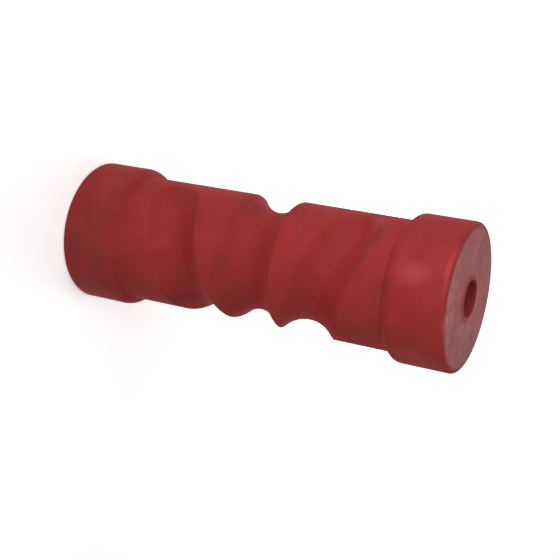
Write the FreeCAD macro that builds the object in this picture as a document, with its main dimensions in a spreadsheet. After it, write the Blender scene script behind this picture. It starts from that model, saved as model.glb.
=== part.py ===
import FreeCAD, Part
import math
import os
import Sketcher
from FreeCAD import Placement, Rotation, Vector

doc = FreeCAD.newDocument("KeelRoller")

# Driving dimensions, in mm, degrees and turns. The roller is drawn from the middle plane of
# its keel channel: the two side grooves are mirror images about that plane.
ROWS = [
    ("body_length", 199.2, "end face to end face, without the lip"),
    ("collar_diameter", 70.0, "largest diameter, on both end collars"),
    ("barrel_diameter", 62.2, "plain diameter between the collars"),
    ("pin_diameter", 16.0, "pin that the roller turns on"),
    ("pin_clearance", 1.0, "bore over pin, on the diameter"),
    ("keel_offset", 0.4, "middle of the keel channel under the middle of the length"),
    ("lower_collar", 28.0, "lower end face to where its collar meets the barrel"),
    ("upper_collar", 29.9, "upper end face to where its collar meets the barrel"),
    ("shoulder_round", 5.6, "round that brings a collar down to the barrel"),
    ("end_round", 2.0, "round on the outer edge of each end"),
    ("keel_depth", 7.2, "keel channel below the barrel"),
    ("keel_round", 15.2, "radius of the channel's section"),
    ("keel_brow", 2.6, "round where the channel meets the barrel"),
    ("screw_depth", 7.05, "side groove below the barrel"),
    ("screw_round", 15.2, "radius of a side groove's section"),
    ("screw_gap", 22.46, "middle of a side groove's ball end to the nearer collar's foot"),
    ("screw_turns", 0.8075, "turns from the keel channel to the groove's ball end"),
    ("edge_round", 1.2, "round on the edges of the side grooves"),
    ("stance", 66.2, "turn about the axis from the drawing to how the roller stands"),
    ("lip_height", 0.8, "lip round the bore of the upper end"),
    ("lip_foot", 14.5, "radius at which the lip starts to rise"),
    ("lip_round", 0.9, "roll of the lip into the bore"),
    ("lip_root", 3.0, "depth of the lip's ring inside the end"),
    ("mouth_chamfer", 0.8, "chamfer where the bore leaves the plain end"),
]

sizes = doc.addObject("Spreadsheet::Sheet", "Sizes")
sizes.set("A1", "name")
sizes.set("B1", "value")
sizes.set("C1", "what it is")
for row, (alias, value, note) in enumerate(ROWS, start=2):
    sizes.set(f"A{row}", alias)
    sizes.set(f"B{row}", str(value))
    sizes.set(f"C{row}", note)
    sizes.setAlias(f"B{row}", alias)
doc.recompute()

# Formulas that several features share.
LOWER = "(Sizes.body_length / 2 - Sizes.keel_offset)"
UPPER = "(Sizes.body_length / 2 + Sizes.keel_offset)"
LOWER_FOOT = f"{LOWER} - Sizes.lower_collar"
UPPER_FOOT = f"{UPPER} - Sizes.upper_collar"
COLLAR = "Sizes.collar_diameter / 2"
BARREL = "Sizes.barrel_diameter / 2"
BORE = "(Sizes.pin_diameter + Sizes.pin_clearance) / 2"
LIP_ROOT = f"{UPPER} - Sizes.lip_root"
LIP_ROLL = f"{UPPER} + Sizes.lip_height - Sizes.lip_round"
KEEL_CENTRE = f"{BARREL} - Sizes.keel_depth + Sizes.keel_round"
SCREW_CENTRE = f"{BARREL} - Sizes.screw_depth + Sizes.screw_round"
SCREW_RISE = f"(min({LOWER_FOOT}; {UPPER_FOOT}) - Sizes.screw_gap)"
SCREW_PITCH = f"{SCREW_RISE} / Sizes.screw_turns"
SCREW_END = "(90 - 360 * Sizes.screw_turns) * 1 deg"
SCREW_LEAD = f"atan({SCREW_PITCH} / (2 * pi * ({SCREW_CENTRE})))"


def value_of(formula):
    return float(sizes.evalExpression(formula))


lower = value_of(LOWER)
upper = value_of(UPPER)
lower_foot = value_of(LOWER_FOOT)
upper_foot = value_of(UPPER_FOOT)
collar = value_of(COLLAR)
barrel = value_of(BARREL)
bore_radius = value_of(BORE)
shoulder_round = value_of("Sizes.shoulder_round")
keel_round = value_of("Sizes.keel_round")
keel_centre = value_of(KEEL_CENTRE)

roller = doc.addObject("PartDesign::Body", "RollerBody")
roller.Label = "roller_body"
AXIS = Vector(0, 0, 1)

# How a sketch numbers the points of a line or an arc, its origin and its axes.
FIRST, LAST, CENTRE = range(1, 4)
AXIS_H, AXIS_V = -1, -2
ORIGIN_POINT = (AXIS_H, FIRST)


def origin(role):
    return next(item for item in roller.Origin.OriginFeatures if item.Role == role)


def new_sketch(name, role="XZ_Plane"):
    sketch = roller.newObject("Sketcher::SketchObject", name)
    sketch.AttachmentSupport = [(origin(role), "")]
    sketch.MapMode = "FlatFace"
    return sketch


def size(sketch, name, kind, *points, formula):
    """Add a dimension to a sketch and bind it to a formula of the sheet."""
    index = sketch.addConstraint(Sketcher.Constraint(kind, *points, value_of(formula)))
    sketch.renameConstraint(index, name)
    sketch.setExpression(f"Constraints.{name}", formula)


def circle_on_radius(sketch, centre_formula, radius_formula):
    """Circle whose centre stands on the sketch's horizontal axis, out from the origin."""
    centre = Vector(value_of(centre_formula), 0, 0)
    sketch.addGeometry(Part.Circle(centre, AXIS, value_of(radius_formula)), False)
    sketch.addConstraint(Sketcher.Constraint("PointOnObject", 0, CENTRE, AXIS_H))
    size(sketch, "centre", "DistanceX", *ORIGIN_POINT, 0, CENTRE, formula=centre_formula)
    size(sketch, "radius", "Radius", 0, formula=radius_formula)


def arc(centre, radius, start, end):
    circle = Part.Circle(Vector(*centre, 0), AXIS, radius)
    return Part.ArcOfCircle(circle, start, end)


def line(start, end):
    return Part.LineSegment(Vector(*start, 0), Vector(*end, 0))


# Blank, half of its section from end to end: two collars that round down to the plain barrel
# between them, and the keel channel round the barrel's middle, a circular arc in section.
keel_reach = math.sqrt(keel_round ** 2 - (keel_centre - barrel) ** 2)
keel_spread = math.atan2(keel_reach, keel_centre - barrel)
shoulder_turn = math.acos(1 - (collar - barrel) / shoulder_round)
shoulder_length = shoulder_round * math.sin(shoulder_turn)
lower_top = lower_foot + shoulder_length
upper_top = upper_foot + shoulder_length
shoulder_centre = collar - shoulder_round

profile = new_sketch("BlankProfile")
LOWER_END, LOWER_COLLAR, LOWER_SHOULDER, LOWER_BARREL, CHANNEL = range(5)
UPPER_BARREL, UPPER_SHOULDER, UPPER_COLLAR, UPPER_END, CENTRE_LINE = range(5, 10)
for geometry in (
    line((0, -lower), (collar, -lower)),
    line((collar, -lower), (collar, -lower_top)),
    arc((shoulder_centre, -lower_top), shoulder_round, 0, shoulder_turn),
    line((barrel, -lower_foot), (barrel, -keel_reach)),
    arc((keel_centre, 0), keel_round, math.pi - keel_spread, math.pi + keel_spread),
    line((barrel, keel_reach), (barrel, upper_foot)),
    arc((shoulder_centre, upper_top), shoulder_round, -shoulder_turn, 0),
    line((collar, upper_top), (collar, upper)),
    line((collar, upper), (0, upper)),
    line((0, upper), (0, -lower)),
):
    profile.addGeometry(geometry, False)
for joint in (
    ("Coincident", LOWER_END, LAST, LOWER_COLLAR, FIRST),
    ("Tangent", LOWER_COLLAR, LAST, LOWER_SHOULDER, FIRST),
    ("Coincident", LOWER_SHOULDER, LAST, LOWER_BARREL, FIRST),
    ("Coincident", LOWER_BARREL, LAST, CHANNEL, LAST),
    ("Coincident", CHANNEL, FIRST, UPPER_BARREL, FIRST),
    ("Coincident", UPPER_BARREL, LAST, UPPER_SHOULDER, FIRST),
    ("Tangent", UPPER_SHOULDER, LAST, UPPER_COLLAR, FIRST),
    ("Coincident", UPPER_COLLAR, LAST, UPPER_END, FIRST),
    ("Coincident", UPPER_END, LAST, CENTRE_LINE, FIRST),
    ("Coincident", CENTRE_LINE, LAST, LOWER_END, FIRST),
    ("PointOnObject", CENTRE_LINE, FIRST, AXIS_V),
    ("PointOnObject", CHANNEL, CENTRE, AXIS_H),
    ("Horizontal", LOWER_END),
    ("Horizontal", UPPER_END),
    ("Vertical", LOWER_COLLAR),
    ("Vertical", LOWER_BARREL),
    ("Vertical", UPPER_BARREL),
    ("Vertical", UPPER_COLLAR),
    ("Vertical", CENTRE_LINE),
):
    profile.addConstraint(Sketcher.Constraint(*joint))
for name, geometry, formula in (
    ("lower_collar", LOWER_COLLAR, COLLAR),
    ("upper_collar", UPPER_COLLAR, COLLAR),
    ("lower_barrel", LOWER_BARREL, BARREL),
    ("upper_barrel", UPPER_BARREL, BARREL),
    ("channel_centre", CHANNEL, KEEL_CENTRE),
):
    point = CENTRE if geometry == CHANNEL else FIRST
    size(profile, name, "DistanceX", *ORIGIN_POINT, geometry, point, formula=formula)
for name, geometry, formula in (
    ("channel_round", CHANNEL, "Sizes.keel_round"),
    ("lower_round", LOWER_SHOULDER, "Sizes.shoulder_round"),
    ("upper_round", UPPER_SHOULDER, "Sizes.shoulder_round"),
):
    size(profile, name, "Radius", geometry, formula=formula)
size(profile, "lower_end", "DistanceY", LOWER_END, FIRST, *ORIGIN_POINT, formula=LOWER)
size(profile, "upper_end", "DistanceY", *ORIGIN_POINT, UPPER_END, LAST, formula=UPPER)
size(profile, "lower_foot", "DistanceY", LOWER_BARREL, FIRST, *ORIGIN_POINT,
     formula=LOWER_FOOT)
size(profile, "upper_foot", "DistanceY", *ORIGIN_POINT, UPPER_BARREL, LAST,
     formula=UPPER_FOOT)

blank = roller.newObject("PartDesign::Revolution", "Blank")
blank.Profile = (profile, [""])
blank.ReferenceAxis = (profile, ["V_Axis"])
blank.Angle = 360
doc.recompute()


def edges_where(feature, test):
    """Names of a feature's edges for which the test holds."""
    return [f"Edge{number}" for number, edge in enumerate(feature.Shape.Edges, start=1)
            if test(edge)]


def rounded(name, base, test, alias):
    """Fillet on the edges of the base that pass the test."""
    names = edges_where(base, test)
    fillet = roller.newObject("PartDesign::Fillet", name)
    fillet.Base = (base, names)
    fillet.setExpression("Radius", f"Sizes.{alias}")
    doc.recompute()
    return fillet


NEAR = 0.02


def is_ring(edge, radius, *levels):
    """Edge that runs round the axis, this far out and level with one of these planes."""
    points = edge.discretize(7)
    return (all(abs(math.hypot(point.x, point.y) - radius) < NEAR for point in points)
            and any(all(abs(point.z - level) < NEAR for point in points) for level in levels))


ends = rounded("EndRounds", blank, lambda edge: is_ring(edge, collar, -lower, upper),
               "end_round")
brow = rounded("KeelBrow", ends,
               lambda edge: is_ring(edge, barrel, -keel_reach, keel_reach), "keel_brow")


# Side grooves, each swept by a ball along a helix. The upper one starts in the channel at +Y
# and climbs as a left-hand helix; the lower one is its mirror image. The section is a circle
# square to its helix, so that the ball at the far end runs on from it smoothly.
def screw_groove(name, sign):
    section = new_sketch(f"{name}Section", "YZ_Plane")
    section.AttachmentOffset = Placement(Vector(), Rotation(Vector(1, 0, 0), 10))
    section.setExpression("AttachmentOffset.Rotation.Angle", f"{-sign} * {SCREW_LEAD}")
    circle_on_radius(section, SCREW_CENTRE, "Sizes.screw_round")
    doc.recompute()
    groove = roller.newObject("PartDesign::SubtractiveHelix", name)
    groove.Profile = (section, [""])
    groove.ReferenceAxis = (origin("Z_Axis"), [""])
    groove.Mode = "pitch-turns-angle"
    groove.setExpression("Pitch", SCREW_PITCH)
    groove.setExpression("Turns", "Sizes.screw_turns")
    groove.Angle = 0
    groove.LeftHanded = sign > 0
    groove.Reversed = sign < 0
    doc.recompute()
    return groove


def screw_end(name, sign):
    """Ball in which a side groove stops, under the collar."""
    ball = roller.newObject("PartDesign::SubtractiveSphere", name)
    ball.AttachmentSupport = [(origin("XY_Plane"), "")]
    ball.MapMode = "FlatFace"
    ball.setExpression("Radius", "Sizes.screw_round")
    ball.setExpression("AttachmentOffset.Base.x", f"({SCREW_CENTRE}) * cos({SCREW_END})")
    ball.setExpression("AttachmentOffset.Base.y", f"({SCREW_CENTRE}) * sin({SCREW_END})")
    ball.setExpression("AttachmentOffset.Base.z", f"{sign} * {SCREW_RISE}")
    doc.recompute()
    return ball


upper_screw = screw_groove("UpperScrew", 1)
upper_ball = screw_end("UpperScrewEnd", 1)
lower_screw = screw_groove("LowerScrew", -1)
lower_ball = screw_end("LowerScrewEnd", -1)


def is_groove_rim(edge):
    """Edge where a side groove or its ball end breaks the plain barrel."""
    points = edge.discretize(7)
    start = points[0]
    on_barrel = all(abs(math.hypot(point.x, point.y) - barrel) < NEAR for point in points)
    level = all(abs(point.z - start.z) < NEAR for point in points)
    upright = all(math.hypot(point.x - start.x, point.y - start.y) < NEAR for point in points)
    return on_barrel and not level and not upright


rims = rounded("GrooveRims", lower_ball, is_groove_rim, "edge_round")

# Lip round the bore of the upper end: it rises in a hollow curve and rolls into the bore.
# The hollow curve leaves the end face level and ends where it touches the roll.
lip_foot = value_of("Sizes.lip_foot")
lip_round = value_of("Sizes.lip_round")
lip_root = value_of(LIP_ROOT)
lip_roll = (bore_radius + lip_round, value_of(LIP_ROLL))
run = lip_foot - lip_roll[0]
drop = lip_roll[1] - upper
hollow = (run ** 2 + drop ** 2 - lip_round ** 2) / (2 * (lip_round + drop))
hollow_turn = math.asin(run / (hollow + lip_round))

lip_profile = new_sketch("LipProfile")
WALL, ROLL, HOLLOW, OUTER, FLOOR = range(5)
for geometry in (
    line((bore_radius, lip_root), (bore_radius, lip_roll[1])),
    arc(lip_roll, lip_round, math.pi / 2 - hollow_turn, math.pi),
    arc((lip_foot, upper + hollow), hollow, 1.5 * math.pi - hollow_turn, 1.5 * math.pi),
    line((lip_foot, upper), (lip_foot, lip_root)),
    line((lip_foot, lip_root), (bore_radius, lip_root)),
):
    lip_profile.addGeometry(geometry, False)
for joint in (
    ("Tangent", WALL, LAST, ROLL, LAST),
    ("Tangent", ROLL, FIRST, HOLLOW, FIRST),
    ("Coincident", HOLLOW, LAST, OUTER, FIRST),
    ("Coincident", OUTER, LAST, FLOOR, FIRST),
    ("Coincident", FLOOR, LAST, WALL, FIRST),
    ("Vertical", HOLLOW, CENTRE, HOLLOW, LAST),
    ("Vertical", WALL),
    ("Vertical", OUTER),
    ("Horizontal", FLOOR),
):
    lip_profile.addConstraint(Sketcher.Constraint(*joint))
size(lip_profile, "wall", "DistanceX", *ORIGIN_POINT, WALL, FIRST, formula=BORE)
size(lip_profile, "foot", "DistanceX", *ORIGIN_POINT, OUTER, LAST, formula="Sizes.lip_foot")
size(lip_profile, "face", "DistanceY", *ORIGIN_POINT, OUTER, FIRST, formula=UPPER)
size(lip_profile, "root", "DistanceY", *ORIGIN_POINT, FLOOR, FIRST, formula=LIP_ROOT)
size(lip_profile, "roll", "Radius", ROLL, formula="Sizes.lip_round")
size(lip_profile, "crest", "DistanceY", *ORIGIN_POINT, ROLL, CENTRE, formula=LIP_ROLL)
lip = roller.newObject("PartDesign::Revolution", "Lip")
lip.Profile = (lip_profile, [""])
lip.ReferenceAxis = (lip_profile, ["V_Axis"])
lip.Angle = 360
doc.recompute()

# Bore right through, and a small chamfer where it leaves the plain lower end.
bore_circle = new_sketch("BoreCircle", "XY_Plane")
bore_circle.addGeometry(Part.Circle(Vector(), AXIS, bore_radius), False)
bore_circle.addConstraint(Sketcher.Constraint("Coincident", 0, CENTRE, *ORIGIN_POINT))
size(bore_circle, "radius", "Radius", 0, formula=BORE)
bore = roller.newObject("PartDesign::Pocket", "Bore")
bore.Profile = (bore_circle, [""])
bore.Type = "ThroughAll"
bore.Midplane = True
doc.recompute()

mouth = roller.newObject("PartDesign::Chamfer", "BoreMouth")
mouth.Base = (bore, edges_where(bore, lambda edge: is_ring(edge, bore_radius, -lower)))
mouth.setExpression("Size", "Sizes.mouth_chamfer")
doc.recompute()
roller.Tip = mouth

# The roller stands on its plain end, with the upper end's bore up.
roller.Placement = Placement(Vector(0, 0, lower), Rotation(AXIS, 10))
roller.setExpression("Placement.Base.z", LOWER)
roller.setExpression("Placement.Rotation.Angle", "Sizes.stance * 1 deg")
doc.recompute()

for item in doc.Objects:
    bad = [state for state in item.State if state in ("Invalid", "Error")]
    if bad:
        raise RuntimeError(f"{item.Name} is {bad}")
for item in (profile, lip_profile, bore_circle):
    if not item.FullyConstrained:
        raise RuntimeError(f"{item.Name} isn't fully constrained")

# Each cut takes material away and each round leaves one valid solid.
volume = blank.Shape.Volume
for item in (ends, brow, upper_screw, upper_ball, lower_screw, lower_ball, rims, lip, bore,
             mouth):
    shape = item.Shape
    print(item.Name, "faces", len(shape.Faces), "volume", round(shape.Volume, 1),
          "change", round(shape.Volume - volume, 1))
    if not shape.isValid() or len(shape.Solids) != 1:
        raise RuntimeError(f"{item.Name} isn't one valid solid")
    volume = shape.Volume

shape = roller.Shape
if shape.isNull() or not shape.isValid():
    raise RuntimeError("the roller isn't valid")
box = shape.optimalBoundingBox(False)
print("box", [round(value, 2) for value in
              (box.XMin, box.YMin, box.ZMin, box.XMax, box.YMax, box.ZMax)])
os.makedirs("parts", exist_ok=True)
shape.exportStep(f"parts/{roller.Label}.step")
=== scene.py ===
import math

import bmesh
import bpy
import numpy as np
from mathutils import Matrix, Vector


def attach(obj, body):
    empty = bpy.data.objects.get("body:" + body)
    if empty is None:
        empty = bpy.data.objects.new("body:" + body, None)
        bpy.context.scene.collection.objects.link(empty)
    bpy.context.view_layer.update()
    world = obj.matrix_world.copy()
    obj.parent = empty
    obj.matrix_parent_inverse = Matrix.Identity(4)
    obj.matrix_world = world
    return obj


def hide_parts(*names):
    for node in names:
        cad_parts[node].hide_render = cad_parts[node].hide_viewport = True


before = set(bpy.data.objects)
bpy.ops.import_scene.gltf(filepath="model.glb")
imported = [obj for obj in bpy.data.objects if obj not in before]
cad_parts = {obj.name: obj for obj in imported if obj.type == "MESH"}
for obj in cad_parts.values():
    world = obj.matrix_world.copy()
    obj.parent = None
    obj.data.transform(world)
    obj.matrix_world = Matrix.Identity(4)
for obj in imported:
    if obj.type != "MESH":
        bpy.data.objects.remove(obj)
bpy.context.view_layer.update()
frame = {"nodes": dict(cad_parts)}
print("frame loaded:", ", ".join(frame["nodes"]))

mm = 0.001
fullTurn = 2 * math.pi


# Camera

# the photograph's frame is square; the roller stands on its plain end and the camera lies on its side
camera = {
    "place": (-0.00773, -0.50395, 0.33691),
    "turn": (-22.7342, -63.1052, 113.3584),  # degrees
    "lens": 73.502,
    "sensor": 36.0,
}

cameraData = bpy.data.cameras.new("camera")
cameraData.lens = camera["lens"]
cameraData.sensor_width = camera["sensor"]
cameraObject = bpy.data.objects.new("camera", cameraData)
cameraObject.location = camera["place"]
cameraObject.rotation_euler = [math.radians(angle) for angle in camera["turn"]]
bpy.context.collection.objects.link(cameraObject)
bpy.context.scene.camera = cameraObject
print("camera placed")


# Roller

# one moulding, all in mm and degrees; heights from the floor, sides as a turn about the bore
roller = {
    "collarRadius": 34.99,
    "barrelRadius": 31.1,
    "endHeight": 199.2,  # the upper end's flat, without its lip
    "endRound": 2.0,
    "lowerFoot": 28.0,  # where each collar meets the barrel
    "upperFoot": 169.3,
    "shoulderRound": 5.6,
    "footRound": 2.4,
    "boreRadius": 8.5,
    "mouthChamfer": 0.8,
    "lipFoot": 14.5,  # how far out the lip round the bore starts to rise
    "lipHeight": 0.79,
    "lipRoll": 0.9,
    "keelHeight": 99.2,
    "keelDepth": 7.2,
    "keelBrow": 2.0,
    "screwDepth": 7.05,
    "screwBrow": 2.0,
    "grooveRound": 15.2,
    "screwStart": 156.2,
    "screwTurns": 0.8075,
    "screwRise": 47.64,
    "screwSteps": 240,  # balls along a side groove
    "spinSteps": 288,
    "arcSteps": 6,
    "shoulderSteps": 7,
    "footSteps": 3,
    "barrelGrid": 0.64,  # height of the faces on the barrel, elsewhere and in the bore
    "plainGrid": 2.6,
    "boreGrid": 14.0,
    "touching": 0.01,  # points this near are one
}


def runTo(bm, end, radius, height):
    # straight run of the section
    tip = bmesh.ops.extrude_vert_indiv(bm, verts=[end])["verts"][0]
    tip.co = Vector((radius, 0, height))
    return tip


def turnAbout(bm, end, radius, height, degrees, steps):
    # arc of the section about a point beside its end; positive turns from up to outwards
    swung = bmesh.ops.spin(bm, geom=[end], cent=(radius, 0, height), axis=(0, 1, 0),
                           angle=math.radians(degrees), steps=steps)
    return swung["geom_last"][0]


def rollerSection(bm):
    # closed outline from the plain end's bore mouth, out, up the side, over the lip and down the bore
    collar, barrel, bore = roller["collarRadius"], roller["barrelRadius"], roller["boreRadius"]
    endRound, shoulder, chamfer = roller["endRound"], roller["shoulderRound"], roller["mouthChamfer"]
    top, lowerFoot, upperFoot = roller["endHeight"], roller["lowerFoot"], roller["upperFoot"]
    arcSteps, shoulderSteps = roller["arcSteps"], roller["shoulderSteps"]
    swing = math.acos(1 - (collar - barrel) / shoulder)
    drop = shoulder * math.sin(swing)
    swing = math.degrees(swing)
    start = bm.verts.new((bore, 0, chamfer))
    end = runTo(bm, start, bore + chamfer, 0)
    end = runTo(bm, end, collar - endRound, 0)
    end = turnAbout(bm, end, collar - endRound, endRound, -90, arcSteps)
    end = runTo(bm, end, collar, lowerFoot - drop)
    lowerCorner = turnAbout(bm, end, collar - shoulder, lowerFoot - drop, -swing, shoulderSteps)
    upperCorner = runTo(bm, lowerCorner, barrel, upperFoot)
    end = turnAbout(bm, upperCorner, collar - shoulder, upperFoot + drop, -swing, shoulderSteps)
    end = runTo(bm, end, collar, top - endRound)
    end = turnAbout(bm, end, collar - endRound, top - endRound, -90, arcSteps)
    # the lip rises in a hollow curve and rolls over into the bore
    lipRoll, lipFoot = roller["lipRoll"], roller["lipFoot"]
    rollRadius, rollHeight = bore + lipRoll, top + roller["lipHeight"] - lipRoll
    run, rise = lipFoot - rollRadius, rollHeight - top
    hollow = (run ** 2 + rise ** 2 - lipRoll ** 2) / (2 * (lipRoll + rise))
    lean = math.degrees(math.asin(run / (hollow + lipRoll)))
    end = runTo(bm, end, lipFoot, top)
    end = turnAbout(bm, end, lipFoot, top + hollow, lean, arcSteps)
    end = turnAbout(bm, end, rollRadius, rollHeight, -90 - lean, arcSteps)
    end = runTo(bm, end, bore, chamfer)
    bmesh.ops.bevel(bm, geom=[lowerCorner, upperCorner], affect="VERTICES",
                    segments=roller["footSteps"], offset=roller["footRound"],
                    offset_type="OFFSET", profile=0.5, material=-1)
    bmesh.ops.remove_doubles(bm, verts=bm.verts, dist=roller["touching"])
    for edge in bm.edges[:]:
        out = (edge.verts[0].co.x + edge.verts[1].co.x) / 2
        grid = roller["plainGrid"]
        if math.isclose(out, barrel, abs_tol=roller["touching"]):
            grid = roller["barrelGrid"]
        elif math.isclose(out, bore, abs_tol=roller["touching"]):
            grid = roller["boreGrid"]
        if edge.calc_length() > grid:
            bmesh.ops.subdivide_edges(bm, edges=[edge], cuts=round(edge.calc_length() / grid) - 1)


def softLower(first, second, soft):
    # lower of two surfaces, with the edge between them rounded over
    near = np.clip(1 - np.abs(first - second) / soft, 0, 1)
    return np.minimum(first, second) - near * near * soft / 4


def ballReach(ballCentre, turn, rise):
    # how far out a ball at this centre radius leaves the rubber, seen a turn and a rise away
    side = roller["grooveRound"] ** 2 - rise ** 2 - (ballCentre * np.sin(turn)) ** 2
    reach = ballCentre * np.cos(turn) - np.sqrt(np.maximum(side, 0))
    return np.where((side > 0) & (np.cos(turn) > 0), reach, roller["collarRadius"] * 2)


def pressGrooves(bm):
    # the keel channel and the two side grooves, as a ball of their section presses them into the barrel
    barrel, keel = roller["barrelRadius"], roller["keelHeight"]
    foot, top = roller["lowerFoot"], roller["upperFoot"]
    sides = [v for v in bm.verts
             if foot < v.co.z < top and v.co.xy.length > barrel - roller["touching"]]
    place = np.array([v.co for v in sides])
    turn, rise = np.arctan2(place[:, 1], place[:, 0]), place[:, 2] - keel
    keelCentre = barrel - roller["keelDepth"] + roller["grooveRound"]
    radius = softLower(np.full(len(sides), barrel), ballReach(keelCentre, 0 * turn, rise),
                       roller["keelBrow"])
    screwCentre = barrel - roller["screwDepth"] + roller["grooveRound"]
    for mirror in (1, -1):
        groove = np.full(len(sides), roller["collarRadius"] * 2)
        for share in np.linspace(0, 1, roller["screwSteps"]):
            along = math.radians(roller["screwStart"]) - share * roller["screwTurns"] * fullTurn
            climb = mirror * share * roller["screwRise"]
            near = np.abs(rise - climb) < roller["grooveRound"]
            pressed = ballReach(screwCentre, turn[near] - along, rise[near] - climb)
            groove[near] = np.minimum(groove[near], pressed)
        radius = softLower(radius, groove, roller["screwBrow"])
    for vert, r, angle in zip(sides, radius, turn):
        vert.co.xy = r * math.cos(angle), r * math.sin(angle)


def makeRoller():
    bm = bmesh.new()
    rollerSection(bm)
    bmesh.ops.spin(bm, geom=bm.verts[:] + bm.edges[:], cent=(0, 0, 0), axis=(0, 0, 1),
                   angle=fullTurn, steps=roller["spinSteps"], use_merge=True)
    bmesh.ops.remove_doubles(bm, verts=bm.verts, dist=roller["touching"])
    bmesh.ops.recalc_face_normals(bm, faces=bm.faces)
    pressGrooves(bm)
    for face in bm.faces:
        face.smooth = True
    bmesh.ops.scale(bm, vec=(mm, mm, mm), verts=bm.verts)
    mesh = bpy.data.meshes.new("rollerMoulding")
    bm.to_mesh(mesh)
    bm.free()
    piece = bpy.data.objects.new("rollerMoulding", mesh)
    bpy.context.collection.objects.link(piece)
    return piece


# Rubber

# cast polyurethane, dyed right through and matte from the mould: it gives the eye a deep red with a
# broad soft sheen, paler where rubbing wore it, painted highlights on edges and the upper collar, dull
# brown where it was handled, painted shade in the grooves, down one side and round the bore, and an
# upper end whose chalkiness is partly painted sheen
rubber = {
    "red": "#AB2C2B",
    "deepRed": "#A12B2A",
    "paleRed": "#B43332",
    # painted shade in the grooves and on the wall faces that look down
    "grooveShadeRed": "#A62B2B",
    "wallShadeRed": "#A61B1D",
    "cleanRed": "#AF252A",
    # partly wear, partly a painted highlight on the rounded edges
    "rimHighlightRed": "#B82B2A",
    # painted highlight where rubbing wore the surface
    "rubbedHighlightRed": "#C14543",
    # painted shade on the end's rim, round the bore's mouth and in the bore
    "boreShadeRed": "#8C201F",
    # dirt, and painted shade down one side and in the upper collar's foot
    "grimeAndShade": "#5A2C2C",
    # whitish paling: dust, and partly painted sheen
    "chalkAndSheen": "#A88C8C",
    "clouds": (22.0, 0.35, 0.65, 2.0),  # size in mm, the two levels it runs between, and detail
    "patches": (6.0, 0.35, 0.7, 3.0),
    "specks": (2.5, 0.3, 0.7, 4.0),
    "noiseRoughness": 0.55,
    "patchShare": 0.35,
    "roughness": 0.9,
    "roughnessChange": 0.05,  # more and less in the clouds
    "polish": 0.3,  # how much smoother it is where rubbing wore it
    "grainSize": 1.1,  # drawn coarser than the mould's own, to show
    "grainDepth": 0.07,
    "fineDetail": 3.0,
    "markEdge": 9.0,  # size of the frays round a mark, and how far they reach
    "markFray": 4.0,
    "wornTurn": 297,  # the side that the upper end's dust and painted sheen are cut back from
    "thinChalkSheen": 0.2,  # whitish paling between the patches, on them, and what the edge marks add; partly dust, partly painted sheen
    "thickChalkSheen": 0.49,
    "moreChalkSheen": 0.08,
    "rimShade": 0.8,  # painted shade: how dark the end's rim is outside its whitish disc, and round the bore's mouth
    "darkMouth": 0.55,
    # where a layer of colour starts and where it is full, in mm where no note says otherwise
    "grooveSink": (0.2, 2.5),  # below the barrel
    "grooveEnd": (0.0, 1.0),  # below the upper collar
    "wallTilt": (-0.03, -0.16),  # upright part of the normal
    "wallLift": (3.0, 6.0),  # above the floor
    "underTilt": (-0.2, -0.9),  # upright part of the normal, and how much of the wall's painted shade it gets there
    "underShare": (0.62, 1.0),
    "chalkSheenDisc": (33.8, 31.4),  # from the bore's middle
    "chalkSheenWorn": (31.2, 29.4),  # the same, towards the end's worn side
    "chalkSheenLevel": (0.35, 0.02),  # below the upper end
    "chalkSheenMouth": (0.2, 3.2),  # beyond the bore
    "rimLevel": (0.8, 0.1),  # below the upper end
    "mouthShade": (5.0, 0.5),  # beyond the bore
    "boreShade": (0.6, 0.1),  # beyond the bore
}

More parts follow.
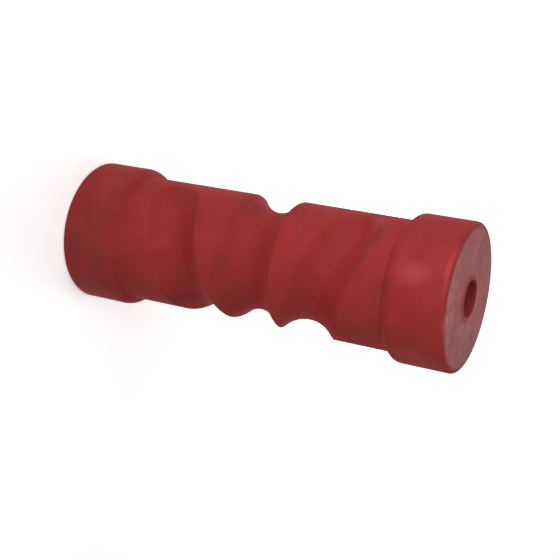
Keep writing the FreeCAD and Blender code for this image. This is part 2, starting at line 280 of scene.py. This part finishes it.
# marks: turn about the bore in degrees, height in mm, half width round and half height along the
# roller in mm, and strength
marks = {
    "clean": [  # clear red, with none of the paler patches
        (277, 183, 24, 17, 1.0),
        (272, 150, 18, 18, 0.6),
        (240, 184, 8, 16, 0.5),
    ],
    "rims": [  # brighter edges of the grooves and of the collar's foot: partly wear, partly a painted highlight on the rounded edges
        (258, 117, 24, 6, 0.7),
        (236, 129, 11, 5, 0.6),
        (250, 164.5, 12, 4, 0.6),
        (262, 82, 14, 4, 0.4),
        (239, 74, 12, 4, 0.3),
        (277, 139, 18, 9, 0.25),
        (234, 171, 22, 4, 0.7),
        (280, 120, 8, 6, 0.4),
    ],
    "chalkAndSheenTraces": [  # a faint whitish trace: a little dust, and near the turn of 200 degrees painted sheen along that side
        (209, 56, 12, 10, 0.06),
        (209, 157, 14, 9, 0.06),
        (340, 187, 16, 16, 0.05),
        (196, 186, 9, 14, 0.03),
        (194, 12, 9, 14, 0.03),
    ],
    "rubbedAndHighlit": [  # smoother where rubbing wore it, and paler as a painted highlight on the upper collar and along the upper end's rounded edge
        (259, 182.5, 8, 14, 0.8),
        (256, 177, 8, 9, 0.35),
        (250, 197.4, 12, 2.2, 0.65),
        (262, 197.8, 8, 1.8, 0.5),
        (270, 54, 8, 6, 0.35),
        (211, 155, 7, 6, 0.35),
        (332, 186, 12, 16, 0.4),
        (292, 199.7, 26, 1.2, 0.7),
    ],
    "soiledAndShaded": [  # browned where it was handled; the marks at turns 314 to 336 and the band at heights 157 to 174 are painted shade
        (284, 8, 14, 9, 0.5),
        (296, 20, 22, 13, 0.4),
        (318, 14, 14, 16, 0.45),
        (243, 24, 11, 7, 0.4),
        (218, 21, 9, 6, 0.2),
        (258, 22.5, 20, 7, 0.3),
        (203, 26, 8, 5, 0.2),
        (322, 22, 9, 8, 0.5),
        (219, 52, 10, 7, 0.2),
        (238, 68, 8, 4, 0.3),
        (280, 87, 14, 5, 0.22),
        (262, 101, 14, 9, 0.35),
        (209, 90, 14, 10, 0.35),
        (231, 160, 9, 3.4, 0.45),
        (250, 157, 12, 3, 0.3),
        (270, 174, 7, 5, 0.35),
        (284, 166.5, 18, 4, 0.3),
        (314, 166, 14, 5, 0.2),
        (222, 198.6, 12, 2.2, 0.3),
        (328, 12, 16, 18, 0.5),
        (262, 13, 36, 18, 0.13),
        (336, 60, 10, 46, 0.4),
        (250, 100, 20, 9, 0.15),
        (32, 199.2, 34, 14, 0.5),
    ],
    "chalkAndSheenEdge": [  # more of the end's whitish paling, partly painted sheen along its edge
        (288, 199.5, 32, 20, 1.0),
        (175, 199.5, 34, 20, 0.3),
    ],
}


def linear(code):
    # sRGB hex to the linear colour that the shaders take
    channels = [int(code[i:i + 2], 16) / 255 for i in (1, 3, 5)]
    return [c / 12.92 if c <= 0.04045 else ((c + 0.055) / 1.055) ** 2.4 for c in channels] + [1.0]


def addNode(tree, kind, sockets=None, **settings):
    # sockets: name or number of an input, and its value or the output linked to it
    node = tree.nodes.new(kind)
    for name, value in settings.items():
        setattr(node, name, value)
    for name, value in (sockets or {}).items():
        if isinstance(value, bpy.types.NodeSocket):
            tree.links.new(value, node.inputs[name])
        else:
            node.inputs[name].default_value = value
    return node


def newMaterial(name):
    material = bpy.data.materials.new(name)
    material.use_nodes = True
    material.node_tree.nodes.clear()
    return material, material.node_tree


def perMm(size):
    # texture scale that makes a pattern's features about this many mm
    return 1 / (size * mm)


def blurredNoise(tree, place, size, low, high, detail):
    # cloudy pattern of this size in mm, stretched from 0 to 1 between two of its own levels
    cloud = addNode(tree, "ShaderNodeTexNoise", {
        "Vector": place, "Scale": perMm(size), "Detail": detail,
        "Roughness": rubber["noiseRoughness"]})
    level = addNode(tree, "ShaderNodeMapRange", {
        "Value": cloud.outputs["Fac"], "From Min": low, "From Max": high},
        interpolation_type="SMOOTHSTEP")
    return level.outputs["Result"]


def markMask(tree, place, spots):
    # all spots together: each a soft ball stretched along the surface, with a frayed edge, and deep
    # enough to reach a groove's floor
    fray = addNode(tree, "ShaderNodeTexNoise", {
        "Vector": place, "Scale": perMm(rubber["markEdge"]), "Detail": rubber["fineDetail"]})
    shift = addNode(tree, "ShaderNodeVectorMath", {
        0: fray.outputs["Color"], 1: (-0.5, -0.5, -0.5)}, operation="ADD")
    frayed = addNode(tree, "ShaderNodeVectorMath", {
        0: shift.outputs[0], 1: (rubber["markFray"] * mm,) * 3, 2: place},
        operation="MULTIPLY_ADD")
    out = roller["barrelRadius"] * mm
    deep = 2 * roller["keelDepth"] * mm
    total = 0.0
    for turn, height, around, along, strength in spots:
        angle = math.radians(turn)
        ball = addNode(tree, "ShaderNodeMapping", {
            "Vector": frayed.outputs[0],
            "Location": (out * math.cos(angle), out * math.sin(angle), height * mm),
            "Rotation": (0, 0, angle), "Scale": (deep, around * mm, along * mm)},
            vector_type="TEXTURE")
        fade = addNode(tree, "ShaderNodeTexGradient", {"Vector": ball.outputs[0]},
                       gradient_type="SPHERICAL")
        soft = addNode(tree, "ShaderNodeMapRange", {
            "Value": fade.outputs["Fac"], "To Max": strength}, interpolation_type="SMOOTHSTEP")
        total = addNode(tree, "ShaderNodeMath", {0: total, 1: soft.outputs["Result"]},
                        operation="MAXIMUM").outputs[0]
    return total


def distanceOut(tree, place):
    # from the upright axis through the bore
    flat = addNode(tree, "ShaderNodeVectorMath", {0: place, 1: (1, 1, 0)}, operation="MULTIPLY")
    out = addNode(tree, "ShaderNodeVectorMath", {0: flat.outputs[0]}, operation="LENGTH")
    return out.outputs["Value"]


def fadedShare(tree, share, limits):
    # a layer's share, which each limit brings down to nothing where the layer starts; a limit is
    # what it is measured on, where the layer starts and where it is full
    for measure, start, full in limits:
        fade = addNode(tree, "ShaderNodeMapRange", {
            "Value": measure, "From Min": start, "From Max": full},
            interpolation_type="SMOOTHSTEP")
        share = addNode(tree, "ShaderNodeMath", {0: share, 1: fade.outputs["Result"]},
                        operation="MULTIPLY").outputs[0]
    return share


def below(level, name):
    # a layer's two limits, under a height or a radius
    start, full = rubber[name]
    return level - start, level - full


def beyond(level, name):
    # the same, past it
    start, full = rubber[name]
    return level + start, level + full


def redPolyurethane():
    material, tree = newMaterial("castPolyurethane")
    place = addNode(tree, "ShaderNodeTexCoord").outputs["Object"]
    placeMm = addNode(tree, "ShaderNodeVectorMath", {0: place, "Scale": 1 / mm},
                      operation="SCALE").outputs[0]
    out = distanceOut(tree, placeMm)
    height = addNode(tree, "ShaderNodeSeparateXYZ", {"Vector": placeMm}).outputs["Z"]
    normal = addNode(tree, "ShaderNodeNewGeometry").outputs["Normal"]
    facing = addNode(tree, "ShaderNodeSeparateXYZ", {"Vector": normal}).outputs["Z"]
    barrel, bore = roller["barrelRadius"], roller["boreRadius"]
    foot, end = roller["upperFoot"], roller["endHeight"]

    clouds = blurredNoise(tree, place, *rubber["clouds"])
    patches = blurredNoise(tree, place, *rubber["patches"])
    specks = blurredNoise(tree, place, *rubber["specks"])
    palePatches = addNode(tree, "ShaderNodeMath", {0: patches, 1: rubber["patchShare"]},
                          operation="MULTIPLY").outputs[0]

    # painted shade: the grooves are a little darker, and the wall faces that look down are darker and a
    # deeper red the more they do
    grooveShade = fadedShare(tree, 1.0, [(out, *below(barrel, "grooveSink")),
                                  (height, *below(foot, "grooveEnd"))])
    (tilted, under), (least, most) = rubber["underTilt"], rubber["underShare"]
    shade = addNode(tree, "ShaderNodeMapRange", {
        "Value": facing, "From Min": tilted, "From Max": under, "To Min": least, "To Max": most})
    wallShade = fadedShare(tree, shade.outputs["Result"], [(facing, *rubber["wallTilt"]),
                                                       (height, *rubber["wallLift"])])

    # a whitish paling, partly dust and partly painted sheen, covers a disc on the upper end, which one
    # worn side cuts off straight
    turn = math.radians(rubber["wornTurn"])
    ahead = addNode(tree, "ShaderNodeVectorMath", {
        0: placeMm, 1: (math.cos(turn), math.sin(turn), 0)}, operation="DOT_PRODUCT").outputs["Value"]
    disc = [(out, *rubber["chalkSheenDisc"]), (ahead, *rubber["chalkSheenWorn"])]
    uneven = addNode(tree, "ShaderNodeMath", {0: patches, 1: specks}, operation="ADD").outputs[0]
    unevenChalkAndSheen = addNode(tree, "ShaderNodeMapRange", {
        "Value": uneven, "From Max": 2.0, "To Min": rubber["thinChalkSheen"],
        "To Max": rubber["thickChalkSheen"]})
    endChalkAndSheen = addNode(tree, "ShaderNodeMath", {
        0: markMask(tree, place, marks["chalkAndSheenEdge"]), 1: rubber["moreChalkSheen"],
        2: unevenChalkAndSheen.outputs["Result"]}, operation="MULTIPLY_ADD").outputs[0]
    endChalkAndSheen = fadedShare(tree, endChalkAndSheen, disc + [(height, *below(end, "chalkSheenLevel")),
                                            (out, *beyond(bore, "chalkSheenMouth"))])
    # painted shade on the end's rounded rim, outside the disc
    rimShade = addNode(tree, "ShaderNodeMath", {
        0: fadedShare(tree, 1.0, disc), 1: -rubber["rimShade"], 2: rubber["rimShade"]},
        operation="MULTIPLY_ADD").outputs[0]
    rimShade = fadedShare(tree, rimShade, [(height, *below(end, "rimLevel"))])

    rubbedAndHighlit = markMask(tree, place, marks["rubbedAndHighlit"])
    colour = linear(rubber["deepRed"])
    layers = [
        (clouds, "red"),
        (palePatches, "paleRed"),
        # painted shade in the grooves and on their downward wall faces
        (grooveShade, "grooveShadeRed"),
        (wallShade, "wallShadeRed"),
        (markMask(tree, place, marks["clean"]), "cleanRed"),
        # partly wear, partly a painted highlight on the edges
        (markMask(tree, place, marks["rims"]), "rimHighlightRed"),
        # a faint trace of dust, partly painted sheen
        (markMask(tree, place, marks["chalkAndSheenTraces"]), "chalkAndSheen"),
        # painted highlight where rubbing wore the surface; the roughness below takes its polish
        (rubbedAndHighlit, "rubbedHighlightRed"),
        # dirt, and painted shade down one side and in the upper collar's foot
        (markMask(tree, place, marks["soiledAndShaded"]), "grimeAndShade"),
        # the upper end's paling, partly painted sheen
        (endChalkAndSheen, "chalkAndSheen"),
        # painted shade on the end's rounded rim, round the bore's mouth and down the bore
        (rimShade, "boreShadeRed"),
        (fadedShare(tree, rubber["darkMouth"], [(out, *beyond(bore, "mouthShade"))]), "boreShadeRed"),
        (fadedShare(tree, 1.0, [(out, *beyond(bore, "boreShade"))]), "boreShadeRed"),
    ]
    for share, name in layers:
        colour = addNode(tree, "ShaderNodeMix", {0: share, 6: colour, 7: linear(rubber[name])},
                         data_type="RGBA").outputs[2]

    rough = addNode(tree, "ShaderNodeMapRange", {
        "Value": clouds, "To Min": rubber["roughness"] + rubber["roughnessChange"],
        "To Max": rubber["roughness"] - rubber["roughnessChange"]}).outputs["Result"]
    rough = addNode(tree, "ShaderNodeMath", {0: rubbedAndHighlit, 1: -rubber["polish"], 2: rough},
                    operation="MULTIPLY_ADD").outputs[0]
    grain = addNode(tree, "ShaderNodeTexNoise", {
        "Vector": place, "Scale": perMm(rubber["grainSize"]), "Detail": rubber["fineDetail"]})
    bump = addNode(tree, "ShaderNodeBump", {
        "Height": grain.outputs["Fac"], "Strength": 1.0, "Distance": rubber["grainDepth"] * mm})
    shader = addNode(tree, "ShaderNodeBsdfPrincipled", {
        "Base Color": colour, "Roughness": rough, "Normal": bump.outputs["Normal"]})
    addNode(tree, "ShaderNodeOutputMaterial", {"Surface": shader.outputs["BSDF"]})
    return material


rollerPiece = makeRoller()
rollerPiece.data.materials.append(redPolyurethane())
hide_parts("roller_body")
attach(rollerPiece, "root")
print("roller moulded:", len(rollerPiece.data.polygons), "faces")


# Floor and light

studio = {
    "floorSize": 6.0,
    "floorColour": "#E6E6E4",
    "floorSeen": 1.2,  # how pale the lit floor looks to the camera, which leaves it its shadow
    "floorGlow": (0.38, 0.75),  # more to the camera, near and far, to come to white
    "glowReach": (0.15, 0.9),
    "airColour": "#FFFFFF",
    "airStrength": 0.2,
    "backdrop": (1.0, 1.0, 1.0, 1.0),
    "backdropStrength": 1.0,
}


def seen(tree):
    # 1 where the camera looks, also by a reflection; 0 in the light on the object
    path = addNode(tree, "ShaderNodeLightPath")
    share = path.outputs["Is Camera Ray"]
    for ray in ("Is Glossy Ray", "Is Transmission Ray"):
        share = addNode(tree, "ShaderNodeMath", {0: share, 1: path.outputs[ray]},
                        operation="MAXIMUM").outputs[0]
    return share


def paleFloor():
    material, tree = newMaterial("paleFloor")
    looked = seen(tree)
    place = addNode(tree, "ShaderNodeTexCoord").outputs["Object"]
    (near, far), (nearGlow, farGlow) = studio["glowReach"], studio["floorGlow"]
    glow = addNode(tree, "ShaderNodeMapRange", {
        "Value": distanceOut(tree, place), "From Min": near, "From Max": far,
        "To Min": nearGlow, "To Max": farGlow}, interpolation_type="SMOOTHSTEP")
    glow = addNode(tree, "ShaderNodeMath", {0: glow.outputs["Result"], 1: looked},
                   operation="MULTIPLY")
    shown = [studio["floorSeen"]] * 3 + [1.0]
    paint = addNode(tree, "ShaderNodeMix", {
        0: looked, 6: linear(studio["floorColour"]), 7: shown}, data_type="RGBA")
    matt = addNode(tree, "ShaderNodeBsdfDiffuse", {"Color": paint.outputs[2]})
    light = addNode(tree, "ShaderNodeEmission", {
        "Color": studio["backdrop"], "Strength": glow.outputs[0]})
    both = addNode(tree, "ShaderNodeAddShader", {0: matt.outputs[0], 1: light.outputs[0]})
    addNode(tree, "ShaderNodeOutputMaterial", {"Surface": both.outputs[0]})
    return material


def paleAir():
    world = bpy.data.worlds.new("studioAir")
    world.use_nodes = True
    tree = world.node_tree
    tree.nodes.clear()
    light = addNode(tree, "ShaderNodeBackground", {
        "Color": linear(studio["airColour"]), "Strength": studio["airStrength"]})
    white = addNode(tree, "ShaderNodeBackground", {
        "Color": studio["backdrop"], "Strength": studio["backdropStrength"]})
    mix = addNode(tree, "ShaderNodeMixShader", {
        0: seen(tree), 1: light.outputs[0], 2: white.outputs[0]})
    addNode(tree, "ShaderNodeOutputWorld", {"Surface": mix.outputs[0]})
    return world


def makeFloor():
    bm = bmesh.new()
    bmesh.ops.create_grid(bm, x_segments=1, y_segments=1, size=studio["floorSize"] / 2)
    mesh = bpy.data.meshes.new("floor")
    bm.to_mesh(mesh)
    bm.free()
    piece = bpy.data.objects.new("floor", mesh)
    bpy.context.collection.objects.link(piece)
    return piece


floor = makeFloor()
floor.data.materials.append(paleFloor())
bpy.context.scene.world = paleAir()

# soft boxes that all face the roller's middle: turn from the front in degrees, power in watts;
# height, distance from the upright axis and side in metres
lampAim = Vector((0, 0, 0.1))
lamps = {
    "key": {"turn": -30, "height": 0.4, "away": 0.4, "side": 0.3, "power": 0.43},
    "fill": {"turn": 0, "height": 0.3, "away": 0.35, "side": 0.25, "power": 0.34},
    "side": {"turn": -60, "height": 0.3, "away": 0.4, "side": 0.3, "power": 0.24},
    "low": {"turn": -60, "height": 0.15, "away": 0.5, "side": 0.3, "power": 0.12},
    "back": {"turn": 180, "height": 0.95, "away": 0.85, "side": 0.7, "power": 2.5},
    "rear": {"turn": 180, "height": 0.14, "away": 0.5, "side": 0.24, "power": 0.85},
}


def addLamp(name, lamp):
    data = bpy.data.lights.new(name, "AREA")
    data.shape = "SQUARE"
    data.size = lamp["side"]
    data.energy = lamp["power"]
    light = bpy.data.objects.new(name, data)
    turn, away = math.radians(lamp["turn"]), lamp["away"]
    light.location = (away * math.sin(turn), -away * math.cos(turn), lamp["height"])
    light.rotation_euler = (lampAim - light.location).to_track_quat("-Z", "Y").to_euler()
    light.visible_camera = False
    bpy.context.collection.objects.link(light)


for lampName, lampSettings in lamps.items():
    addLamp(lampName, lampSettings)

bpy.context.scene.view_settings.view_transform = "Standard"
print("floor and", len(lamps), "lamps set")
